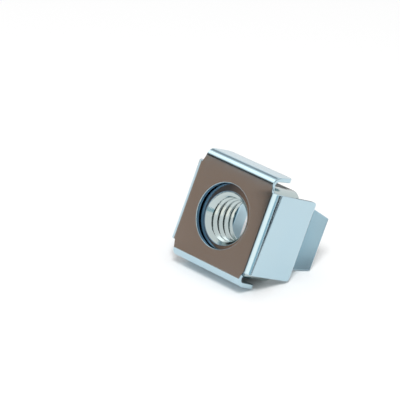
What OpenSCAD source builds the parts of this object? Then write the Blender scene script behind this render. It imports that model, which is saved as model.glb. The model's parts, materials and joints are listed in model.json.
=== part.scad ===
// Rack cage nut: a square nut held loosely in a folded spring steel cage.
//
// The cage is drawn around the thread axis. Its face lies in the plane z = 0,
// the two flanges and the two legs fold back along +z, and the screw comes in
// from +z between the lips. The whole part is then laid down on the edge of
// one flange and the two lips, as a loose cage nut comes to rest on a table.

/* [Nut] */
// Width of the square nut across its flats
nut_w = 10.8; // [10.2:0.1:13]
// Thickness of the nut
nut_t = 5; // [3.2:0.1:7]
// Corner radius of the nut
nut_corner_r = 1.2; // [0.4:0.1:2]
// Diameter at which the turned chamfer of the corners meets each face
nut_face_d = 13.2; // [12:0.1:16]
// Angle of the turned chamfer
nut_chamfer_angle = 30; // [15:1:45]

/* [Thread] */
// Nominal diameter of the metric thread
thread_d = 6; // [5:0.5:6]
// Pitch of the thread
thread_pitch = 1; // [0.5:0.05:1]
// Diameter of the countersink at each end of the thread
countersink_d = 6.2; // [6.1:0.1:7.4]

/* [Sheet] */
// Thickness of the spring steel sheet
sheet = 0.5; // [0.4:0.05:0.6]
// Inside radius of every fold
fold_r = 0.2; // [0.1:0.05:0.25]

/* [Room for the nut] */
// Clearance between the nut and each leg
side_gap = 0.5; // [0.2:0.05:1]
// Clearance between the centred nut and each flange
flange_gap = 0.6; // [0.3:0.05:1]
// Clearance between the nut and the face of the cage
face_gap = 0.2; // [0.1:0.05:0.4]
// Play of the nut between the face and the shoulders
nut_play = 1.5; // [0.4:0.1:2]
// How far the loose nut has dropped towards the lower flange, if the table lets it
nut_drop = 0.2; // [0:0.05:0.25]
// Least height of the nut above the table that the part lies on
table_gap = 0.02; // [0.02:0.01:0.1]
// Clearance of the face's hole around the screw
screw_gap = 0.8; // [0.3:0.05:1]

/* [Flanges] */
// Depth of the flanges from the front of the face
flange_d = 3.5; // [2.5:0.1:4.5]
// Outward lean of the flanges
flange_flare = 3; // [0:0.5:8]
// How far each flange stops short of the cage's sides
flange_notch = 1.2; // [1:0.05:1.6]
// Narrowing of each end of a flange towards its free edge
flange_taper = 0.15; // [0:0.05:0.4]
// Corner radius of the flanges
flange_corner_r = 0.5; // [0.2:0.05:0.8]

/* [Legs] */
// How far each leg stops short of the cage's top and bottom
leg_notch = 1.72; // [1.3:0.02:2.2]
// Corner radius where a leg folds into its shoulder
leg_corner_r = 0.8; // [0.3:0.05:0.9]

/* [Rail and lips] */
// Side of the square hole in the rail
rail_hole = 9.5; // [7.8:0.1:12]
// Thickness of the thickest rail that the lips close over
rail_t = 1.6; // [1:0.1:2.5]
// Clearance between each neck and the side of the rail's hole
neck_gap = 0.1; // [0.05:0.05:0.2]
// Room between the edges of a neck and the rail's hole
neck_side_gap = 1; // [0.3:0.05:1.2]
// Least width of the shoulder that seats on the rail
seat_min = 1.5; // [1.2:0.1:2.5]
// Length of a lip beyond its fold
lip_len = 2; // [1.4:0.05:2.6]
// Outward lean of the lips
lip_angle = 40; // [25:1:60]
// Narrowing of each side of a lip towards its end
lip_taper = 0.6; // [0:0.05:0.8]

/* [Hidden] */
$fn = 96;

outer_r = sheet + fold_r;  // outside radius of a fold
fold_facet = 9;            // largest angle between the facets of a fold
through = 40;              // longer than the part in any direction

// Thread: minor diameter and depth of the countersinks, which are cut at 45 degrees
minor_d = thread_d - 1.0825 * thread_pitch;
countersink_t = (countersink_d - minor_d) / 2;

// Cage: wide enough for the nut and for its seats on the rail
neck_x = rail_hole / 2 - neck_gap;
cage_w = max(nut_w + 2 * (side_gap + sheet), 2 * (neck_x + seat_min));
cage_h = nut_w + 2 * (flange_gap + sheet);
seat_z = sheet + face_gap + nut_t + nut_play + sheet;
face_hole_d = thread_d + 2 * screw_gap;

// Lines along which the face folds
leg_fold = cage_w / 2 - outer_r;
flange_fold = cage_h / 2 - outer_r;

// Widths of the strips
leg_w = cage_h - 2 * leg_notch;
flange_w = cage_w - 2 * flange_notch;
neck_w = rail_hole - 2 * neck_side_gap;
lip_end_w = neck_w - 2 * lip_taper;

// Flange: angle of its fold and length of its flat up to flange_d
flange_turn = 90 - flange_flare;
flange_flat = (flange_d - outer_r * (1 - cos(flange_turn))) / sin(flange_turn);

// Lip: start of its fold, and the far corner of its end
lip_z = seat_z + rail_t;
lip_end_z = lip_z + fold_r * sin(lip_angle) + lip_len * cos(lip_angle) + sheet * sin(lip_angle);

// Resting place: the free edge of the lower flange touches the table, and behind it the ends
// of the lips do, or the legs' rounded corners where these stand out further.
// Each foot is the centre of a corner in y and z, with its radius.
flange_edge_y = flange_fold + outer_r * sin(flange_turn) + flange_flat * cos(flange_turn);
feet = [
    [lip_end_w / 2, lip_end_z, 0],
    [leg_w / 2 - leg_corner_r, seat_z - leg_corner_r, leg_corner_r]
];
lean = min([for (foot = feet)
    let (rise = flange_edge_y - foot[0], run = foot[1] - flange_d)
    atan2(rise, run) - asin(foot[2] / norm([rise, run]))]);
table = flange_edge_y * cos(lean) + flange_d * sin(lean);
rest_front = outer_r * cos(lean) - flange_fold * sin(lean) - outer_r;
rest_back = lip_end_w / 2 * sin(lean) + lip_end_z * cos(lean);

// Loose nut: it lies towards the lower flange, and its far edge stays above the table
nut_back_z = sheet + face_gap + nut_t;
table_y = flange_edge_y - (nut_back_z - flange_d) * tan(lean) - table_gap / cos(lean);
nut_y = min(nut_drop, table_y - nut_w / 2);

// Points along the outer side of a folded strip, each with the strip's heading there.
// Each step is a flat length and the fold after it: inwards if positive, outwards if negative.
function strip_path(steps, at = [0, 0], heading = 0, i = 0) =
    i == len(steps) ? [] :
    let (
        turn = steps[i][1],
        facets = ceil(abs(turn) / fold_facet),
        flat_end = at + steps[i][0] * [cos(heading), sin(heading)],
        r = turn > 0 ? outer_r : -fold_r,
        centre = flat_end + r * [-sin(heading), cos(heading)],
        fold = [for (k = [1:1:facets])
            let (h = heading + turn * k / facets) [centre + r * [sin(h), -cos(h)], h]],
        next = facets == 0 ? flat_end : fold[facets - 1][0]
    )
    concat([[flat_end, heading]], fold, strip_path(steps, next, heading + turn, i + 1));

// Section of a folded strip that starts along +x with its outer side on the x axis
module strip_section(steps) {
    path = concat([[[0, 0], 0]], strip_path(steps));
    polygon(concat(
        [for (p = path) p[0]],
        [for (i = [len(path) - 1:-1:0]) path[i][0] + sheet * [-sin(path[i][1]), cos(path[i][1])]]
    ));
}

// A section in x and z, drawn out along y
module along_y(width) {
    rotate([90, 0, 0]) linear_extrude(width, center = true) children();
}

// An outline in y and z, drawn out along x through everything
module through_x() {
    rotate([90, 0, 90]) linear_extrude(through, center = true) children();
}

// An upright strip outline with rounded far corners
module rounded_tab(width, height, r) {
    translate([-width / 2, -sheet]) square([width, height - r + sheet]);
    translate([-width / 2 + r, 0]) square([width - 2 * r, height]);
    for (side = [-1, 1]) translate([side * (width / 2 - r), height - r]) circle(r);
}

// Outline of a leg with its neck and lip, seen from the side
module leg_outline() {
    rounded_tab(leg_w, seat_z, leg_corner_r);
    polygon([
        [-neck_w / 2, seat_z - leg_corner_r],
        [-neck_w / 2, lip_z],
        [-lip_end_w / 2, lip_end_z],
        [lip_end_w / 2, lip_end_z],
        [neck_w / 2, lip_z],
        [neck_w / 2, seat_z - leg_corner_r]
    ]);
}

// Both legs: down the nut's side, in under it, through the rail's hole and out again
module legs() {
    intersection() {
        along_y(leg_w) {
            for (side = [0, 1]) mirror([side, 0]) {
                strip_section([
                    [leg_fold, 90],
                    [seat_z - 2 * outer_r, 90],
                    [leg_fold - neck_x - fold_r, -90],
                    [rail_t - fold_r, -lip_angle],
                    [lip_len, 0]
                ]);
            }
        }
        through_x() leg_outline();
    }
}

// Outline of a flange, narrowing from its fold to its rounded free edge
module flange_outline() {
    far_z = flange_d + sheet * cos(flange_turn);
    r = flange_corner_r;
    intersection() {
        rounded_tab(flange_w, far_z, r);
        polygon([
            [-flange_w / 2, -sheet],
            [-flange_w / 2, outer_r],
            [-flange_w / 2 + flange_taper, far_z + sheet],
            [flange_w / 2 - flange_taper, far_z + sheet],
            [flange_w / 2, outer_r],
            [flange_w / 2, -sheet]
        ]);
    }
}

// Both flanges, folded back above and below the nut
module flanges() {
    intersection() {
        rotate(90) along_y(flange_w) {
            for (side = [0, 1]) mirror([side, 0]) {
                strip_section([[flange_fold, flange_turn], [flange_flat, 0]]);
            }
        }
        rotate(90) through_x() flange_outline();
    }
}

// Flat of the face, with its corners cut away between the folds
module face() {
    linear_extrude(sheet) polygon([
        [leg_fold, leg_w / 2], [flange_w / 2, flange_fold],
        [-flange_w / 2, flange_fold], [-leg_fold, leg_w / 2],
        [-leg_fold, -leg_w / 2], [-flange_w / 2, -flange_fold],
        [flange_w / 2, -flange_fold], [leg_fold, -leg_w / 2]
    ]);
}

// The cage is one folded sheet
module cage() {
    color("#b4cdd8") laid_down() difference() {
        union() {
            face();
            legs();
            flanges();
        }
        cylinder(d = face_hole_d, h = 4 * sheet, center = true);
    }
}

// Block of the nut: a square bar with rounded edges, faced and chamfered on the lathe
module nut_blank() {
    half = nut_w / 2 - nut_corner_r;
    face_r = nut_face_d / 2;
    mid_r = face_r + nut_t / 2 / tan(nut_chamfer_angle);
    intersection() {
        linear_extrude(nut_t) {
            square([nut_w, 2 * half], center = true);
            square([2 * half, nut_w], center = true);
            for (x = [-half, half], y = [-half, half]) translate([x, y]) circle(nut_corner_r);
        }
        rotate_extrude() polygon([[0, 0], [face_r, 0], [mid_r, nut_t / 2], [face_r, nut_t], [0, nut_t]]);
    }
}

// Tapped hole at its minor diameter, countersunk at both ends
module tapped_hole() {
    bore_r = minor_d / 2;
    sink_r = countersink_d / 2;
    rotate_extrude() polygon([
        [0, -1], [sink_r, -1], [sink_r, 0], [bore_r, countersink_t],
        [bore_r, nut_t - countersink_t], [sink_r, nut_t], [sink_r, nut_t + 1], [0, nut_t + 1]
    ]);
}

// The nut lies loose in the cage, off centre towards the lower flange
module nut() {
    color("#a3b4bb") laid_down() translate([0, nut_y, sheet + face_gap]) difference() {
        nut_blank();
        tapped_hole();
    }
}

// Lays the part down on its flange edge and lips, over the middle of the table spot
module laid_down() {
    translate([0, -(rest_front + rest_back) / 2, table]) rotate([-90 - lean, 0, 0]) children();
}

cage();
nut();
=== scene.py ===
"""Rack cage nut: the finished look of a square nut in its folded spring steel cage.

Both pieces are drawn around the thread axis, in a local frame that the packed model's mounts give:
local x runs across the two legs, local y across the two flanges, and local z from the front of the
cage's face towards the lips. place() then turns each point into the row frame, where the loose part
lies on the edge of its lower flange and on the ends of its lips.
"""

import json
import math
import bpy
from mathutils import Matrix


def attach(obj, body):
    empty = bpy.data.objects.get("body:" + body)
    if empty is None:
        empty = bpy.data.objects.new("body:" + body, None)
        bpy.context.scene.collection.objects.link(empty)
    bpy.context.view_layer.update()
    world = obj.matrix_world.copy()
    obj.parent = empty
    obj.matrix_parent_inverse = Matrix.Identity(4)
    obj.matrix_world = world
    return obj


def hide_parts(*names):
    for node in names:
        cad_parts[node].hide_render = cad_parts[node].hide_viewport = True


bl_info = {
    "name": "Rack Cage Nut",
    "version": (1, 0, 0),
    "blender": (4, 5, 0),
    "location": "3D View > Sidebar > Cage Nut",
    "description": "Builds a square nut in its folded spring steel cage, and a plain stage for it",
    "category": "Object",
}

import bmesh
import bpy
from mathutils import Matrix, Vector

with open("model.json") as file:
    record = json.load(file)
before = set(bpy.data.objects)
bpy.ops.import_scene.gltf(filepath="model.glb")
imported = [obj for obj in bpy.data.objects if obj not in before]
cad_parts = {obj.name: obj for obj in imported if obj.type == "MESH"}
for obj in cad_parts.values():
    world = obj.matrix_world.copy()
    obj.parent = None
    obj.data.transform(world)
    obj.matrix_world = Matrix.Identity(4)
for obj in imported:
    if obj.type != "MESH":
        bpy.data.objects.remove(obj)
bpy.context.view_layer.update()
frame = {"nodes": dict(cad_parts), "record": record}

MM = 0.001

# The frame: the mounts give the thread's axis and its seats
MOUNTS = {mount["name"]: mount for mount in frame["record"]["mounts"]}
THREAD = MOUNTS["thread"]
INTO_PART = Vector(THREAD["axis"]).normalized()
ACROSS_LEGS = Vector((1, 0, 0))
ACROSS_FLANGES = INTO_PART.cross(ACROSS_LEGS)


def extent(node, direction):
    """How far a CAD node reaches along a direction, as its least and its greatest distance."""
    reach = [vertex.co.dot(direction) for vertex in frame["nodes"][node].data.vertices]
    return min(reach), max(reach)


def span(node, direction):
    """A CAD node's size along a direction."""
    least, greatest = extent(node, direction)
    return greatest - least


CAGE_WIDTH = span("cage", ACROSS_LEGS)
NUT_WIDTH = span("nut", ACROSS_LEGS)
NUT_THICKNESS = span("nut", INTO_PART)
BORE_DIAMETER = 2 * THREAD["dims"]["r_mm"] * MM

FACE_LEVEL = extent("cage", INTO_PART)[0]
NUT_LEVEL = extent("nut", INTO_PART)[0]
RAIL_SEAT = Vector(MOUNTS["rail_hole"]["pos_m"])
SEAT_DEPTH = RAIL_SEAT.dot(INTO_PART) - FACE_LEVEL
FACE_CENTRE = RAIL_SEAT - SEAT_DEPTH * INTO_PART

# Where the loose nut lies in the cage: how far behind the face's front, and how far off the axis
NUT_FRONT = NUT_LEVEL - FACE_LEVEL
NUT_LIFT = (Vector(THREAD["pos_m"]) - FACE_CENTRE).dot(ACROSS_FLANGES)


def place(point):
    """A point of the local frame, in the row frame."""
    x, y, z = point
    return FACE_CENTRE + x * ACROSS_LEGS + y * ACROSS_FLANGES + z * INTO_PART


# ---------------------------------------------------------------- settings


def length(name, description, default):
    """A length, given in metres and shown in the scene's unit."""
    return bpy.props.FloatProperty(
        name=name,
        description=description,
        default=default,
        min=0.0,
        precision=5,
        subtype="DISTANCE",
        unit="LENGTH",
    )


def angle(name, description, default):
    """An angle, given in degrees."""
    return bpy.props.FloatProperty(
        name=name,
        description=description,
        default=math.radians(default),
        subtype="ANGLE",
        unit="ROTATION",
    )


def number(name, description, default, unit="NONE"):
    """A number that isn't a length or an angle."""
    return bpy.props.FloatProperty(
        name=name, description=description, default=default, min=0.0, unit=unit
    )


def hex_colour(name, description, default):
    """A colour as an sRGB hex value."""
    return bpy.props.StringProperty(name=name, description=description, default=default)


class CageSizes(bpy.types.PropertyGroup):
    """Sizes of the folded sheet."""

    width: length("Width", "Width over both legs", CAGE_WIDTH)
    height: length("Height", "Height over both flange folds", 13.0 * MM)
    seat_depth: length("Seat depth", "From the face to the seat on the rail", SEAT_DEPTH)
    sheet: length("Sheet", "Thickness of the sheet", 0.5 * MM)
    fold_radius: length("Fold radius", "Inside radius of the folds round the face", 0.5 * MM)
    seat_radius: length("Seat radius", "Inside radius of the other folds", 0.2 * MM)
    hole: length("Hole", "Diameter of the hole in the face", 7.6 * MM)
    flange_width: length("Flange width", "Width of each flange at its fold", 10.4 * MM)
    flange_depth: length("Flange depth", "Depth of each flange from the face", 3.5 * MM)
    flange_flare: angle("Flange flare", "Outward lean of the flanges", 3)
    flange_taper: length("Flange taper", "Narrowing of each end of a flange", 0.15 * MM)
    flange_corner: length("Flange corner", "Corner radius of the flanges", 0.7 * MM)
    leg_width: length("Leg width", "Width of each leg", 9.56 * MM)
    leg_corner: length("Leg corner", "Corner radius of a leg at its shoulder", 1.0 * MM)
    neck_span: length("Neck span", "Outside distance between the two necks", 9.3 * MM)
    neck_width: length("Neck width", "Width of each neck", 7.5 * MM)
    rail: length("Rail", "Rail thickness between shoulders and lips", 1.6 * MM)
    lip_length: length("Lip length", "Length of a lip beyond its fold", 2.0 * MM)
    lip_lean: angle("Lip lean", "Outward lean of the lips", 40)
    lip_taper: length("Lip taper", "Narrowing of each side of a lip", 0.6 * MM)
    edge: length("Edge", "Rounding of the sheared edges", 0.06 * MM)


class NutSizes(bpy.types.PropertyGroup):
    """Sizes of the square nut and its thread."""

    width: length("Width", "Width across flats", NUT_WIDTH)
    thickness: length("Thickness", "Thickness of the nut", NUT_THICKNESS)
    corner: length("Corner", "Radius of the square's corners", 1.2 * MM)
    face: length("Face", "Diameter at which the turned chamfer meets each face", 13.2 * MM)
    chamfer: angle("Chamfer", "Angle of the turned chamfer", 30)
    edge: length("Edge", "Rounding of the nut's edges", 0.1 * MM)
    countersink: length("Countersink", "Diameter of the countersinks", 6.2 * MM)
    rim: length("Rim", "Depth of the rounded rim of the countersinks", 0.04 * MM)
    minor: length("Minor diameter", "Minor diameter of the thread", BORE_DIAMETER)
    major: length("Major diameter", "Major diameter of the thread", 6.0 * MM)
    pitch: length("Pitch", "Pitch of the thread", 1.0 * MM)


class Finishes(bpy.types.PropertyGroup):
    """Colours of the metals and of the stage, as sRGB hex values."""

    spring_steel: hex_colour("Spring steel", "Deeper tint of the cage's plating", "#B4CFDB")
    spring_steel_pale: hex_colour("Pale spring steel", "Paler tint of the cage's plating", "#BCD3DC")
    nut_steel: hex_colour("Nut steel", "Plating of the nut", "#B9C6C6")
    # Painted shade: the nut's front face is drawn in this darker colour for the shade in the gap behind
    # the cage's face, not for a plating of its own
    nut_front_painted_shade: hex_colour("Nut front", "Darker plating of the nut's front face", "#5B7486")
    floor: hex_colour("Floor", "White floor", "#FDFDFD")


class StageSettings(bpy.types.PropertyGroup):
    """Where the camera and the lamp stand, and how bright the room is."""

    azimuth: angle("Azimuth", "Direction of the camera, from the front towards +X", 43.8)
    elevation: angle("Elevation", "Height of the camera above the horizon", 25.45)
    roll: angle("Roll", "Roll of the camera, to the left", 3.05)
    distance: length("Distance", "Distance of the camera", 280.5 * MM)
    lens: number("Lens", "Focal length of the camera", 225.0, "CAMERA")
    left_of_hole: length("Left of hole", "Middle of the frame, left of the hole", 2.53 * MM)
    above_hole: length("Above hole", "Middle of the frame, above the hole", 1.79 * MM)
    room: number("Room", "Brightness of the room as the camera and the metal see it", 1.0)
    fill: number("Fill", "Brightness of the room where it lights matt surfaces", 0.66)
    lamp_azimuth: angle("Lamp azimuth", "Direction of the lamp, from the front towards +X", 43.8)
    lamp_elevation: angle("Lamp elevation", "Height of the lamp above the horizon", 55)
    lamp_distance: length("Lamp distance", "Distance of the lamp", 600 * MM)
    lamp_size: length("Lamp size", "Side of the square lamp", 160 * MM)
    lamp_power: number("Lamp power", "Power of the lamp", 2.0, "POWER")


# ---------------------------------------------------------------- small helpers

SQUARE = math.radians(90)
EDGE_SEGMENTS = 3  # facets across a rounded edge
SAME_POINT = 0.001 * MM  # points nearer than this are one point

MATH = "ShaderNodeMath"
ADD = {"operation": "ADD"}
SUBTRACT = {"operation": "SUBTRACT"}
MULTIPLY = {"operation": "MULTIPLY"}
DIVIDE = {"operation": "DIVIDE"}
MINIMUM = {"operation": "MINIMUM"}
MAXIMUM = {"operation": "MAXIMUM"}


def srgb(code):
    """A hex colour as linear RGBA."""
    channels = [int(code[i : i + 2], 16) / 255 for i in (1, 3, 5)]
    linear = [c / 12.92 if c <= 0.04045 else ((c + 0.055) / 1.055) ** 2.4 for c in channels]
    return (*linear, 1.0)


def add_node(tree, kind, settings=None, *values, **named):
    """Adds a node with its settings, such as a Math node's operation.

    Values go to its inputs in order, and named values to the inputs of those names, with underscores
    for spaces. A value is a constant, a socket to link from, or a node, for that node's first output.
    """
    node = tree.nodes.new(kind)
    for name, value in (settings or {}).items():
        setattr(node, name, value)
    inputs = list(zip(node.inputs, values))
    inputs += [(node.inputs[name.replace("_", " ")], value) for name, value in named.items()]
    for socket, value in inputs:
        if isinstance(value, bpy.types.Node):
            value = value.outputs[0]
        if isinstance(value, bpy.types.NodeSocket):
            tree.links.new(value, socket)
        else:
            socket.default_value = value
    return node


def new_material(name):
    """A material with an empty node tree, and that tree."""
    material = bpy.data.materials.new(name)
    material.use_nodes = True
    material.node_tree.nodes.clear()
    return material, material.node_tree


def mesh_object(name, mesh):
    """An object at the origin, linked into the scene."""
    obj = bpy.data.objects.new(name, mesh)
    bpy.context.scene.collection.objects.link(obj)
    return obj


def apply_modifiers(obj):
    """Applies the object's modifiers, so that it has a new plain mesh."""
    graph = bpy.context.evaluated_depsgraph_get()
    mesh = bpy.data.meshes.new_from_object(obj.evaluated_get(graph), depsgraph=graph)
    obj.modifiers.clear()
    obj.data = mesh


def round_edges(obj, width, limit):
    """Rounds every edge that turns by more than the limit."""
    bevel = obj.modifiers.new("Rounded edges", "BEVEL")
    bevel.width = width
    bevel.segments = EDGE_SEGMENTS
    bevel.limit_method = "ANGLE"
    bevel.angle_limit = limit
    bevel.use_clamp_overlap = False


def shade_flats(obj):
    """Shades the mesh smooth, with normals weighted by area so that the flats stay flat."""
    obj.data.shade_smooth()
    weighted = obj.modifiers.new("Flat faces", "WEIGHTED_NORMAL")
    weighted.keep_sharp = True


# ---------------------------------------------------------------- materials

PATCH = 3.85 * MM  # width of a deeper or paler patch of the passivation

# Both grains are finer on the real metal, and are drawn coarse enough to show
ROLLED_GRAIN = 0.25 * MM
CUT_GRAIN = 0.67 * MM


def zinc_spring_steel(finishes):
    """Cold rolled spring steel strip, bright zinc plated and blue passivated.

    The plating follows the fine grain that rolling left in the strip, so its gloss is soft, and the
    passivation gives the metal its pale blue tint, a little deeper in some places than in others.
    """
    material, tree = new_material("zinc_plated_spring_steel")
    spot = add_node(tree, "ShaderNodeTexCoord").outputs["Object"]
    patches = add_node(tree, "ShaderNodeTexNoise", Vector=spot, Scale=1 / PATCH, Detail=3.0)
    tint = add_node(
        tree,
        "ShaderNodeMix",
        {"data_type": "RGBA"},
        Factor=patches,
        A=srgb(finishes.spring_steel),
        B=srgb(finishes.spring_steel_pale),
    )
    gloss = add_node(tree, "ShaderNodeMapRange", Value=patches, To_Min=0.12, To_Max=0.2)
    grain = add_node(tree, "ShaderNodeTexNoise", Vector=spot, Scale=1 / ROLLED_GRAIN, Detail=2.0)
    bump = add_node(tree, "ShaderNodeBump", Strength=0.05, Distance=0.02 * MM, Height=grain)
    shader = add_node(
        tree,
        "ShaderNodeBsdfPrincipled",
        Metallic=1.0,
        Base_Color=tint.outputs["Result"],
        Roughness=gloss,
        Normal=bump,
    )
    add_node(tree, "ShaderNodeOutputMaterial", Surface=shader)
    return material


def zinc_nut_steel(finishes):
    """Free cutting steel, turned and tapped, then zinc plated.

    The cutting marks under the plating break up the gloss. The front face is painted darker and bluer
    than the rest, most so towards -X: painted shade for the shadowed gap behind the cage's face.
    """
    material, tree = new_material("zinc_plated_nut_steel")
    spot = add_node(tree, "ShaderNodeTexCoord").outputs["Object"]
    along_axis = add_node(tree, "ShaderNodeVectorMath", {"operation": "DOT_PRODUCT"}, spot, INTO_PART)
    # Painted shade: a mask of the nut's front face, where the darker colour is painted
    painted_shade_on_front = add_node(
        tree,
        "ShaderNodeMapRange",
        Value=along_axis.outputs["Value"],
        From_Min=NUT_LEVEL + 0.03 * MM,
        From_Max=NUT_LEVEL + 0.08 * MM,
        To_Min=1.0,
        To_Max=0.0,
    )
    across = add_node(tree, "ShaderNodeSeparateXYZ", Vector=spot)
    # Painted shade: the painted darkening grows towards -X across the front face
    painted_shade_towards_minus_x = add_node(
        tree,
        "ShaderNodeMapRange",
        Value=across.outputs["X"],
        From_Min=2.5 * MM,
        From_Max=-1.0 * MM,
        To_Min=0.25,
        To_Max=1.0,
    )
    tint = add_node(
        tree,
        "ShaderNodeMix",
        {"data_type": "RGBA"},
        Factor=add_node(tree, MATH, MULTIPLY, painted_shade_on_front, painted_shade_towards_minus_x),
        A=srgb(finishes.nut_steel),
        B=srgb(finishes.nut_front_painted_shade),
    )
    grain = add_node(tree, "ShaderNodeTexNoise", Vector=spot, Scale=1 / CUT_GRAIN, Detail=4.0)
    gloss = add_node(tree, "ShaderNodeMapRange", Value=grain, To_Min=0.1, To_Max=0.2)
    bump = add_node(tree, "ShaderNodeBump", Strength=0.1, Distance=0.03 * MM, Height=grain)
    shader = add_node(
        tree,
        "ShaderNodeBsdfPrincipled",
        Metallic=1.0,
        Base_Color=tint.outputs["Result"],
        Roughness=gloss,
        Normal=bump,
    )
    add_node(tree, "ShaderNodeOutputMaterial", Surface=shader)
    return material


def white_paper(finishes):
    """Smooth white paper for the floor: matt, with no gloss."""
    material, tree = new_material("white_paper")
    shader = add_node(tree, "ShaderNodeBsdfDiffuse", Color=srgb(finishes.floor))
    add_node(tree, "ShaderNodeOutputMaterial", Surface=shader)
    return material


def glowing_card(name, code, strength):
    """A studio card or softbox as the metal sees it: one even brightness all over."""
    material, tree = new_material(name)
    glow = add_node(tree, "ShaderNodeEmission", Color=srgb(code), Strength=strength)
    add_node(tree, "ShaderNodeOutputMaterial", Surface=glow)
    return material


# ---------------------------------------------------------------- cage

LOCAL_X = Vector((1, 0, 0))
LOCAL_Y = Vector((0, 1, 0))
LOCAL_Z = Vector((0, 0, 1))

FOLD_STEPS = 14  # facets in a square fold
CORNER_STEPS = 8  # points along a small rounded corner
HOLE_STEPS = 96  # points round the hole in the face, a multiple of eight
SHEARED = math.radians(40)  # edges sharper than this are sheared ones


class Station:
    """A row across a folded strip: a point of its outer side, the way into the sheet, and its width."""

    def __init__(self, out, depth, heading, half_width):
        self.out = out
        self.depth = depth
        self.inward = (-math.sin(heading), math.cos(heading))
        self.half_width = half_width


def strip_stations(steps, start, sheet, half_width):
    """Stations along a strip that starts flat in the face, at the distance start from the axis.

    Each step is the rows along a flat, the angle of the fold after it, which is positive towards the
    nut, and that fold's inside radius. half_width(out, depth) is the strip's half width at a point.
    """
    out, depth, heading = start, 0.0, 0.0
    stations = [Station(out, depth, heading, half_width(out, depth))]
    for rows, turn, inside in steps:
        flat_out, flat_depth = out, depth
        for row in rows:
            out = flat_out + row * math.cos(heading)
            depth = flat_depth + row * math.sin(heading)
            stations.append(Station(out, depth, heading, half_width(out, depth)))
        radius = sheet + inside if turn > 0 else -inside
        centre_out = out - radius * math.sin(heading)
        centre_depth = depth + radius * math.cos(heading)
        facets = math.ceil(abs(turn) / SQUARE * FOLD_STEPS)
        for k in range(1, facets + 1):
            towards = heading + turn * k / facets
            out = centre_out + radius * math.sin(towards)
            depth = centre_depth - radius * math.cos(towards)
            stations.append(Station(out, depth, towards, half_width(out, depth)))
        heading += turn
    return stations


def corner_drop(distance, radius):
    """How far a rounded corner has pulled in, at a distance from the end that it rounds."""
    if distance >= radius:
        return 0.0
    return radius - math.sqrt(max(0.0, radius**2 - (radius - max(0.0, distance)) ** 2))


def share(value, start, end):
    """How far a value has come from start to end, from 0 to 1."""
    return min(1.0, max(0.0, (value - start) / (end - start)))


def leg_stations(cage):
    """A leg: down the nut's side, in under it, through the rail's hole and out again as a lip."""
    outer = cage.sheet + cage.fold_radius
    seat_outer = cage.sheet + cage.seat_radius
    fold_at = cage.width / 2 - outer
    seat_fold_at = cage.width / 2 - seat_outer
    neck_at = cage.neck_span / 2
    lip_from = cage.seat_depth + cage.rail
    lip_to = lip_from + cage.lip_length * math.cos(cage.lip_lean)

    def half_width(out, depth):
        if depth <= cage.seat_depth and out > neck_at + cage.seat_radius:
            return cage.leg_width / 2 - corner_drop(cage.seat_depth - depth, cage.leg_corner)
        if depth <= lip_from:
            shoulder = cage.leg_width / 2 - cage.leg_corner
            narrowed = share(depth, cage.seat_depth, cage.seat_depth + cage.seat_radius)
            return shoulder + (cage.neck_width / 2 - shoulder) * narrowed
        return cage.neck_width / 2 - cage.lip_taper * share(depth, lip_from, lip_to)

    leg = cage.seat_depth - outer - seat_outer
    corner_from = leg + seat_outer - cage.leg_corner
    corner = [
        corner_from + cage.leg_corner * math.sin(SQUARE * k / CORNER_STEPS)
        for k in range(CORNER_STEPS)
    ]
    rows = [row for row in corner if row < leg] + [leg]
    steps = [
        ([0.0], SQUARE, cage.fold_radius),
        (rows, SQUARE, cage.seat_radius),
        ([seat_fold_at - neck_at - cage.seat_radius], -SQUARE, cage.seat_radius),
        ([cage.rail - cage.seat_radius], -cage.lip_lean, cage.seat_radius),
        ([cage.lip_length], 0.0, 0.0),
    ]
    return strip_stations(steps, fold_at, cage.sheet, half_width)


def flange_stations(cage):
    """A flange: folded back and a little outwards, narrowing to its rounded free edge."""
    outer = cage.sheet + cage.fold_radius
    fold_at = cage.height / 2 - outer
    turn = SQUARE - cage.flange_flare
    flat = (cage.flange_depth - outer * (1 - math.cos(turn))) / math.sin(turn)
    corner = cage.flange_corner

    def half_width(out, depth):
        taper = cage.flange_taper * share(depth, outer, cage.flange_depth)
        to_edge = (cage.flange_depth - depth) / math.sin(turn)
        return cage.flange_width / 2 - taper - corner_drop(to_edge, corner)

    rows = [
        flat - corner + corner * math.sin(SQUARE * k / CORNER_STEPS)
        for k in range(CORNER_STEPS + 1)
    ]
    steps = [([0.0], turn, cage.fold_radius), (rows, 0.0, 0.0)]
    return strip_stations(steps, fold_at, cage.sheet, half_width)


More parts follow.
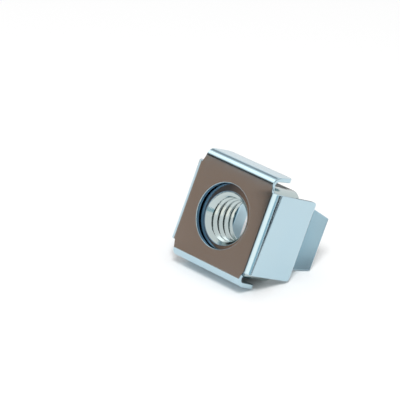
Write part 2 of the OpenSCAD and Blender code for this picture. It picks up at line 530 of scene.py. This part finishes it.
class SheetMesh:
    """A sheet as outer and inner points in the local frame, with the faces of its outer side."""

    def __init__(self):
        self.outer = []
        self.inner = []
        self.faces = []

    def add(self, outer, inner):
        """Adds a point of each side, and gives back their number."""
        self.outer.append(outer)
        self.inner.append(inner)
        return len(self.outer) - 1

    def add_strip(self, root, stations, along, across, sheet):
        """Adds a strip that starts at two vertices of the face, in two local directions."""
        rows = [root]
        for station in stations[1:]:
            row = []
            inward = station.inward[0] * along + station.inward[1] * LOCAL_Z
            for side in (-1, 1):
                outer = station.out * along + station.depth * LOCAL_Z
                outer += side * station.half_width * across
                row.append(self.add(outer, outer + sheet * inward))
            if (self.outer[row[0]] - self.outer[rows[-1][0]]).length > SAME_POINT:
                rows.append(row)
        for near, far in zip(rows, rows[1:]):
            self.faces.append([near[0], near[1], far[1], far[0]])

    def closed_mesh(self, name):
        """Both sides and the sheared edges between them, as one closed mesh in the row frame."""
        count = len(self.outer)
        faces = [list(face) for face in self.faces]
        edges = {}
        for face in self.faces:
            for a, b in zip(face, face[1:] + face[:1]):
                edges[(a, b)] = edges.get((a, b), 0) + 1
        faces += [[i + count for i in reversed(face)] for face in self.faces]
        faces += [[b, a, a + count, b + count] for a, b in edges if (b, a) not in edges]
        mesh = bpy.data.meshes.new(name)
        mesh.from_pydata([place(p) for p in self.outer + self.inner], [], faces)
        work = bmesh.new()
        work.from_mesh(mesh)
        bmesh.ops.recalc_face_normals(work, faces=work.faces)
        work.to_mesh(mesh)
        work.free()
        return mesh


def build_cage(cage):
    """The face with its hole, both flanges and both legs, as one folded sheet."""
    sheet = SheetMesh()
    legs = leg_stations(cage)
    flanges = flange_stations(cage)
    fold_x, fold_y = legs[0].out, flanges[0].out
    half_leg, half_flange = legs[0].half_width, flanges[0].half_width

    def flat(x, y):
        return sheet.add(Vector((x, y, 0)), Vector((x, y, cage.sheet)))

    corners = [
        flat(x, y)
        for x, y in (
            (fold_x, -half_leg),
            (fold_x, half_leg),
            (half_flange, fold_y),
            (-half_flange, fold_y),
            (-fold_x, half_leg),
            (-fold_x, -half_leg),
            (-half_flange, -fold_y),
            (half_flange, -fold_y),
        )
    ]
    ring = []
    for k in range(HOLE_STEPS):
        turn = math.tau * k / HOLE_STEPS
        ring.append(flat(cage.hole / 2 * math.cos(turn), cage.hole / 2 * math.sin(turn)))
    eighth = HOLE_STEPS // 8
    for k in range(8):
        near, far = corners[k], corners[(k + 1) % 8]
        arc = [ring[(k * eighth - eighth // 2 + j) % HOLE_STEPS] for j in range(eighth + 1)]
        sheet.faces.append([near, far] + arc[::-1])
    sheet.add_strip([corners[0], corners[1]], legs, LOCAL_X, LOCAL_Y, cage.sheet)
    sheet.add_strip([corners[4], corners[5]], legs, -LOCAL_X, -LOCAL_Y, cage.sheet)
    sheet.add_strip([corners[2], corners[3]], flanges, LOCAL_Y, -LOCAL_X, cage.sheet)
    sheet.add_strip([corners[6], corners[7]], flanges, -LOCAL_Y, LOCAL_X, cage.sheet)
    obj = mesh_object("folded_cage", sheet.closed_mesh("folded_cage"))
    round_edges(obj, cage.edge, SHEARED)
    apply_modifiers(obj)
    shade_flats(obj)
    return obj


# ---------------------------------------------------------------- nut

BORE_STEPS = 128  # points round the bore, a multiple of four
PITCH_ROWS = 32  # rows of the bore's mesh in one pitch, a multiple of sixteen
RIM_STEPS = 3  # facets across the rounded rim of a countersink
FLAT_STEPS = 5  # points along a flat where the chamfer cuts it
CONE = math.radians(45)  # slope of the countersinks
CUT_EDGE = math.radians(25)  # edges of the nut's body sharper than this are rounded
CREASE = math.radians(32)  # edges of the whole nut sharper than this aren't shaded smooth
JOIN = 0.002 * MM  # the bore meets the body to within this


def corner_points(nut):
    """Points of the square's outline round one corner, from flat to flat."""
    half = nut.width / 2
    centre = half - nut.corner
    reach = math.sqrt((nut.face / 2) ** 2 - half**2)
    flat = []
    if reach < centre:
        flat = [reach + (centre - reach) * k / FLAT_STEPS for k in range(FLAT_STEPS)]
    points = [(half, y) for y in flat]
    for k in range(2 * CORNER_STEPS + 1):
        turn = SQUARE * k / (2 * CORNER_STEPS)
        points.append((centre + nut.corner * math.cos(turn), centre + nut.corner * math.sin(turn)))
    points += [(x, half) for x in reversed(flat)]
    return points


def rim_rings(nut, vertex, face_z, inwards):
    """Rings of vertices across the rounded edge between a face and its countersink."""
    edge_radius = nut.rim / (1 - math.cos(CONE))
    rings = []
    for step in range(RIM_STEPS + 1):
        bend = CONE * step / RIM_STEPS
        radius = nut.countersink / 2 - nut.rim + edge_radius * (math.sin(CONE) - math.sin(bend))
        z = face_z + inwards * edge_radius * (1 - math.cos(bend))
        ring = []
        for k in range(BORE_STEPS):
            turn = math.tau * k / BORE_STEPS
            ring.append(vertex(radius * math.cos(turn), radius * math.sin(turn), z))
        rings.append(ring)
    return rings


def outline_rings(nut, points, vertex, face_z, inwards):
    """The face's outline, and the outline of the flats where the turned chamfer leaves them."""
    on_face, on_flats = [], []
    for point in points:
        drop = (point.length - nut.face / 2) * math.tan(nut.chamfer)
        if drop > SAME_POINT:
            on_face.append(vertex(*(point * (nut.face / 2 / point.length)), face_z))
            on_flats.append(vertex(*point, face_z + inwards * drop))
        else:
            on_face.append(vertex(*point, face_z))
            on_flats.append(on_face[-1])
    return on_face, on_flats


def build_nut_body(nut):
    """The nut's faces, flats, turned chamfers and rims, open where the bore goes in."""
    corner = [Vector(point) for point in corner_points(nut)]
    points = []
    for quarter in range(4):
        turned = Matrix.Rotation(SQUARE * quarter, 2)
        points += [turned @ point for point in corner]
    work = bmesh.new()

    def vertex(x, y, z):
        return work.verts.new(place((x, y + NUT_LIFT, z + NUT_FRONT)))

    count = len(points)
    flats = []
    for face_z, inwards in ((0.0, 1), (nut.thickness, -1)):
        on_face, on_flats = outline_rings(nut, points, vertex, face_z, inwards)
        rings = rim_rings(nut, vertex, face_z, inwards)
        flats.append(on_flats)

        # The turned chamfers, which run out to nothing where the outline lies inside them
        for i in range(count):
            j = (i + 1) % count
            loop = [on_face[i], on_face[j], on_flats[j], on_flats[i]]
            loop = [v for n, v in enumerate(loop) if v not in loop[:n]]
            if len(loop) > 2:
                work.faces.new(loop)

        # The face as four quarters between its outline and the rim
        for first in range(0, count, len(corner)):
            outline = [on_face[(first + i) % count] for i in range(len(corner) + 1)]
            heading = math.atan2(points[first].y, points[first].x) % math.tau
            start = round(heading / math.tau * BORE_STEPS)
            arc = [rings[0][(start + i) % BORE_STEPS] for i in range(BORE_STEPS // 4 + 1)]
            work.faces.new(outline + arc[::-1])

        # The rim of the countersink
        for near, far in zip(rings, rings[1:]):
            for i in range(BORE_STEPS):
                j = (i + 1) % BORE_STEPS
                work.faces.new([near[i], near[j], far[j], far[i]])

    # The four flats and the corners between them
    for i in range(count):
        j = (i + 1) % count
        work.faces.new([flats[0][i], flats[0][j], flats[1][j], flats[1][i]])
    bmesh.ops.recalc_face_normals(work, faces=work.faces)
    mesh = bpy.data.meshes.new("square_nut")
    work.to_mesh(mesh)
    work.free()
    obj = mesh_object("square_nut", mesh)
    round_edges(obj, nut.edge, CUT_EDGE)
    apply_modifiers(obj)
    return obj


def thread_tree(material):
    """Geometry nodes for a tapped bore: a grid wrapped round the axis, its rows along the helix."""
    tree = bpy.data.node_groups.new("Tapped Bore", "GeometryNodeTree")
    names = ("Minor Radius", "Major Radius", "Pitch", "Thickness", "Countersink Radius", "Rim")
    sockets = {}
    for name in names:
        socket = tree.interface.new_socket(name, in_out="INPUT", socket_type="NodeSocketFloat")
        socket.subtype = "DISTANCE"
        sockets[name] = socket.identifier
    tree.interface.new_socket("Geometry", in_out="OUTPUT", socket_type="NodeSocketGeometry")
    sizes = add_node(tree, "NodeGroupInput").outputs
    pitch, thickness, rim = sizes["Pitch"], sizes["Thickness"], sizes["Rim"]

    # One turn more than the thickness needs, because a row climbs one pitch as it goes round
    pitches = add_node(tree, MATH, DIVIDE, thickness, pitch)
    whole_pitches = add_node(tree, MATH, {"operation": "CEIL"}, pitches)
    turns = add_node(tree, MATH, ADD, whole_pitches, 1.0)
    gaps = add_node(tree, MATH, MULTIPLY, turns, PITCH_ROWS)
    rows = add_node(tree, MATH, ADD, gaps, 1.0)
    grid = add_node(tree, "GeometryNodeMeshGrid", None, 1.0, 1.0, BORE_STEPS + 1, rows)

    # The grid's X is a share of the way round, and its Y a share of the climb
    spot = add_node(tree, "ShaderNodeSeparateXYZ", None, add_node(tree, "GeometryNodeInputPosition"))
    way_round = add_node(tree, MATH, ADD, spot.outputs["X"], 0.5)
    way_up = add_node(tree, MATH, ADD, spot.outputs["Y"], 0.5)
    climb = add_node(tree, MATH, MULTIPLY, way_up, turns)

    # Height along the axis, held between the two rims
    lead = add_node(tree, MATH, SUBTRACT, way_round, 1.0)
    helix = add_node(tree, MATH, ADD, climb, lead)
    free_height = add_node(tree, MATH, MULTIPLY, helix, pitch)
    above_rim = add_node(tree, MATH, MAXIMUM, free_height, rim)
    back_rim = add_node(tree, MATH, SUBTRACT, thickness, rim)
    height = add_node(tree, MATH, MINIMUM, above_rim, back_rim)

    # Distance from the middle of the crest, as a share of the pitch: the crest is an eighth of it to
    # each side, and the root a sixteenth. The nudge keeps a whole turn from rounding down.
    nudged = add_node(tree, MATH, ADD, climb, 0.0001)
    in_pitch = add_node(tree, MATH, {"operation": "FRACT"}, nudged)
    from_middle = add_node(tree, MATH, SUBTRACT, in_pitch, 0.5)
    from_root = add_node(tree, MATH, {"operation": "ABSOLUTE"}, from_middle)
    from_crest = add_node(tree, MATH, SUBTRACT, 0.5, from_root)
    flank = add_node(
        tree,
        "ShaderNodeMapRange",
        Value=from_crest,
        From_Min=1 / 8,
        From_Max=7 / 16,
        To_Min=sizes["Minor Radius"],
        To_Max=sizes["Major Radius"],
    )

    # The countersinks are cones of 45 degrees, so their radius shrinks as fast as they go in
    to_back = add_node(tree, MATH, SUBTRACT, thickness, height)
    inset = add_node(tree, MATH, MINIMUM, height, to_back)
    cone = add_node(tree, MATH, SUBTRACT, sizes["Countersink Radius"], inset)
    radius = add_node(tree, MATH, MAXIMUM, flank, cone)

    turn = add_node(tree, MATH, MULTIPLY, way_round, math.tau)
    cosine = add_node(tree, MATH, {"operation": "COSINE"}, turn)
    sine = add_node(tree, MATH, {"operation": "SINE"}, turn)
    x = add_node(tree, MATH, MULTIPLY, radius, cosine)
    y = add_node(tree, MATH, MULTIPLY, radius, sine)
    wrapped = add_node(tree, "ShaderNodeCombineXYZ", None, x, y, height)
    bore = add_node(tree, "GeometryNodeSetPosition", Geometry=grid, Position=wrapped)
    closed = add_node(tree, "GeometryNodeMergeByDistance", Geometry=bore, Distance=SAME_POINT)
    real = add_node(tree, "GeometryNodeRealizeInstances", Geometry=closed)
    plated = add_node(tree, "GeometryNodeSetMaterial", Geometry=real, Material=material)
    add_node(tree, "NodeGroupOutput", Geometry=plated)
    return tree, sockets


def build_bore(nut, material):
    """The tapped bore with its countersinks, as a plain mesh in the row frame."""
    tree, sockets = thread_tree(material)
    obj = mesh_object("tapped_bore", bpy.data.meshes.new("tapped_bore"))
    modifier = obj.modifiers.new("Tapped bore", "NODES")
    modifier.node_group = tree
    sizes = {
        "Minor Radius": nut.minor / 2,
        "Major Radius": nut.major / 2,
        "Pitch": nut.pitch,
        "Thickness": nut.thickness,
        "Countersink Radius": nut.countersink / 2,
        "Rim": nut.rim,
    }
    for name, value in sizes.items():
        modifier[sockets[name]] = value
    apply_modifiers(obj)
    for vertex in obj.data.vertices:
        x, y, z = vertex.co
        vertex.co = place((x, y + NUT_LIFT, z + NUT_FRONT))
    return obj


def build_nut(nut, material):
    """The square nut with its tapped bore, as one closed mesh."""
    body = build_nut_body(nut)
    bore = build_bore(nut, material)
    work = bmesh.new()
    work.from_mesh(body.data)
    work.from_mesh(bore.data)
    bmesh.ops.remove_doubles(work, verts=work.verts, dist=JOIN)
    bmesh.ops.recalc_face_normals(work, faces=work.faces)
    for edge in work.edges:
        edge.smooth = not edge.is_manifold or edge.calc_face_angle() < CREASE
    loose = [edge for edge in work.edges if not edge.is_manifold]
    if loose:
        raise RuntimeError(f"the nut is open at {len(loose)} edges")
    work.to_mesh(body.data)
    work.free()
    bpy.data.objects.remove(bore)
    shade_flats(body)
    return body


# ---------------------------------------------------------------- stage

SENSOR = 36.0  # width of the camera's sensor in its own millimetres
FLOOR_RADIUS = 1200 * MM
FLOOR_STEPS = 96  # sides of the round floor


def direction(azimuth, elevation):
    """The way from the part to a place, its azimuth counted from the front towards +X."""
    level = math.cos(elevation)
    return Vector((level * math.sin(azimuth), -level * math.cos(azimuth), math.sin(elevation)))


def facing(azimuth, elevation, distance):
    """A place in a direction from the part, turned so that its -Z axis looks back at the part."""
    towards = direction(azimuth, elevation)
    spot = Matrix.Translation(FACE_CENTRE + distance * towards)
    return spot @ towards.to_track_quat("Z", "Y").to_matrix().to_4x4()


def add_camera(stage):
    """The camera, aimed so that the hole in the face keeps its place in the frame."""
    towards = direction(stage.azimuth, stage.elevation)
    turned = towards.to_track_quat("Z", "Y").to_matrix() @ Matrix.Rotation(stage.roll, 3, "Z")
    right, up = turned.col[0], turned.col[1]
    aim = FACE_CENTRE - stage.left_of_hole * right + stage.above_hole * up
    data = bpy.data.cameras.new("Camera")
    data.sensor_width = SENSOR
    data.lens = stage.lens
    data.clip_start = 10 * MM
    data.clip_end = 10000 * MM
    camera = bpy.data.objects.new("Camera", data)
    camera.matrix_world = Matrix.Translation(aim + stage.distance * towards) @ turned.to_4x4()
    bpy.context.scene.collection.objects.link(camera)
    bpy.context.scene.camera = camera


def add_floor(material):
    """A round white floor that the part lies on."""
    work = bmesh.new()
    bmesh.ops.create_circle(work, cap_ends=True, segments=FLOOR_STEPS, radius=FLOOR_RADIUS)
    mesh = bpy.data.meshes.new("floor")
    work.to_mesh(mesh)
    work.free()
    floor = mesh_object("floor", mesh)
    floor.data.materials.append(material)


def add_card(name, code, strength, azimuth, elevation, distance, width, height):
    """A card beside the camera's view that shows only in the metal's reflections.

    The angles are degrees, and the lengths are millimetres.
    """
    middle = facing(math.radians(azimuth), math.radians(elevation), distance * MM)
    x, y = width / 2 * MM, height / 2 * MM
    points = [middle @ Vector(corner) for corner in ((-x, -y, 0), (x, -y, 0), (x, y, 0), (-x, y, 0))]
    mesh = bpy.data.meshes.new(name)
    mesh.from_pydata(points, [], [(0, 1, 2, 3)])
    card = mesh_object(name, mesh)
    card.data.materials.append(glowing_card(name, code, strength))
    card.visible_camera = False
    card.visible_diffuse = False
    card.visible_shadow = False


# Name, colour, strength, azimuth, elevation, distance, width and height of each card
CARDS = (
    ("tan_board", "#AF8773", 1.0, -47.0, 5.0, 450, 230, 230),
    ("board_edge_top", "#3A3735", 1.0, -46.0, 29.0, 440, 330, 140),
    ("board_edge_side", "#3A3735", 1.0, -24.0, 6.0, 440, 135, 250),
    ("softbox_top", "#FFFFFF", 1.8, -64.0, 53.0, 430, 360, 120),
    ("softbox_front", "#FFF8F0", 1.5, 24.0, 16.0, 430, 400, 180),
    ("grey_board_back", "#A2A6AA", 1.0, -125.0, 36.0, 420, 340, 160),
    ("dark_board_right", "#0C0D10", 1.0, 103.0, -0.8, 70, 76, 13.5),
    ("grey_kerb_right", "#6E7278", 1.0, 105.0, -8.1, 40, 60, 4),
    ("dark_board_back", "#0C0D10", 1.0, -140.0, -8.0, 40, 60, 4.6),
    ("blue_board_right", "#A8D0DE", 0.9, 57.0, 4.0, 150, 52, 45),
)


def set_world(stage):
    """An even white room as the camera and the metal see it, which lights matt surfaces more dimly."""
    world = bpy.data.worlds.new("room")
    world.use_nodes = True
    tree = world.node_tree
    tree.nodes.clear()
    ray = add_node(tree, "ShaderNodeLightPath").outputs
    seen = add_node(tree, MATH, MAXIMUM, ray["Is Camera Ray"], ray["Is Glossy Ray"])
    light = add_node(tree, "ShaderNodeMapRange", Value=seen, To_Min=stage.fill, To_Max=stage.room)
    room = add_node(tree, "ShaderNodeBackground", Color=srgb("#FFFFFF"), Strength=light)
    add_node(tree, "ShaderNodeOutputWorld", Surface=room)
    bpy.context.scene.world = world


def add_lamp(stage):
    """A soft square lamp above the part, which the metal doesn't show."""
    data = bpy.data.lights.new("overhead_lamp", "AREA")
    data.shape = "SQUARE"
    data.size = stage.lamp_size
    data.energy = stage.lamp_power
    lamp = bpy.data.objects.new("overhead_lamp", data)
    lamp.matrix_world = facing(stage.lamp_azimuth, stage.lamp_elevation, stage.lamp_distance)
    lamp.visible_glossy = False
    bpy.context.scene.collection.objects.link(lamp)


# ---------------------------------------------------------------- operators and panel


class RACKNUT_OT_stage(bpy.types.Operator):
    """Set up the floor, the lights, the cards and the camera"""

    bl_idname = "rack_cage_nut.stage"
    bl_label = "Stage"

    def execute(self, context):
        scene = context.scene
        scene.view_settings.view_transform = "Standard"
        set_world(scene.rack_nut_stage)
        add_lamp(scene.rack_nut_stage)
        add_floor(white_paper(scene.rack_nut_finishes))
        for card in CARDS:
            add_card(*card)
        add_camera(scene.rack_nut_stage)
        return {"FINISHED"}


class RACKNUT_OT_cage(bpy.types.Operator):
    """Fold the spring steel cage"""

    bl_idname = "rack_cage_nut.cage"
    bl_label = "Cage"

    def execute(self, context):
        piece = build_cage(context.scene.rack_nut_cage)
        piece.data.materials.clear()
        piece.data.materials.append(zinc_spring_steel(context.scene.rack_nut_finishes))
        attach(piece, "root")
        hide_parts("cage")
        return {"FINISHED"}


class RACKNUT_OT_nut(bpy.types.Operator):
    """Make the square nut with its tapped bore"""

    bl_idname = "rack_cage_nut.nut"
    bl_label = "Nut"

    def execute(self, context):
        material = zinc_nut_steel(context.scene.rack_nut_finishes)
        piece = build_nut(context.scene.rack_nut_nut, material)
        piece.data.materials.clear()
        piece.data.materials.append(material)
        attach(piece, "root")
        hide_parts("nut")
        return {"FINISHED"}


class RACKNUT_PT_panel(bpy.types.Panel):
    """Buttons and sizes of the cage nut"""

    bl_idname = "RACKNUT_PT_panel"
    bl_label = "Rack Cage Nut"
    bl_space_type = "VIEW_3D"
    bl_region_type = "UI"
    bl_category = "Cage Nut"

    def draw(self, context):
        for operator in (RACKNUT_OT_stage, RACKNUT_OT_cage, RACKNUT_OT_nut):
            self.layout.operator(operator.bl_idname)
        for group in SETTINGS:
            box = self.layout.box()
            box.label(text=group.__doc__)
            owner = getattr(context.scene, SETTINGS[group])
            for name in group.__annotations__:
                box.prop(owner, name)


SETTINGS = {
    CageSizes: "rack_nut_cage",
    NutSizes: "rack_nut_nut",
    Finishes: "rack_nut_finishes",
    StageSettings: "rack_nut_stage",
}
CLASSES = (*SETTINGS, RACKNUT_OT_stage, RACKNUT_OT_cage, RACKNUT_OT_nut, RACKNUT_PT_panel)


def register():
    for cls in CLASSES:
        bpy.utils.register_class(cls)
    for group, name in SETTINGS.items():
        setattr(bpy.types.Scene, name, bpy.props.PointerProperty(type=group))


def unregister():
    for name in SETTINGS.values():
        delattr(bpy.types.Scene, name)
    for cls in reversed(CLASSES):
        bpy.utils.unregister_class(cls)


def main():
    register()
    bpy.ops.rack_cage_nut.stage()
    bpy.ops.rack_cage_nut.cage()
    bpy.ops.rack_cage_nut.nut()


if __name__ == "__main__":
    main()
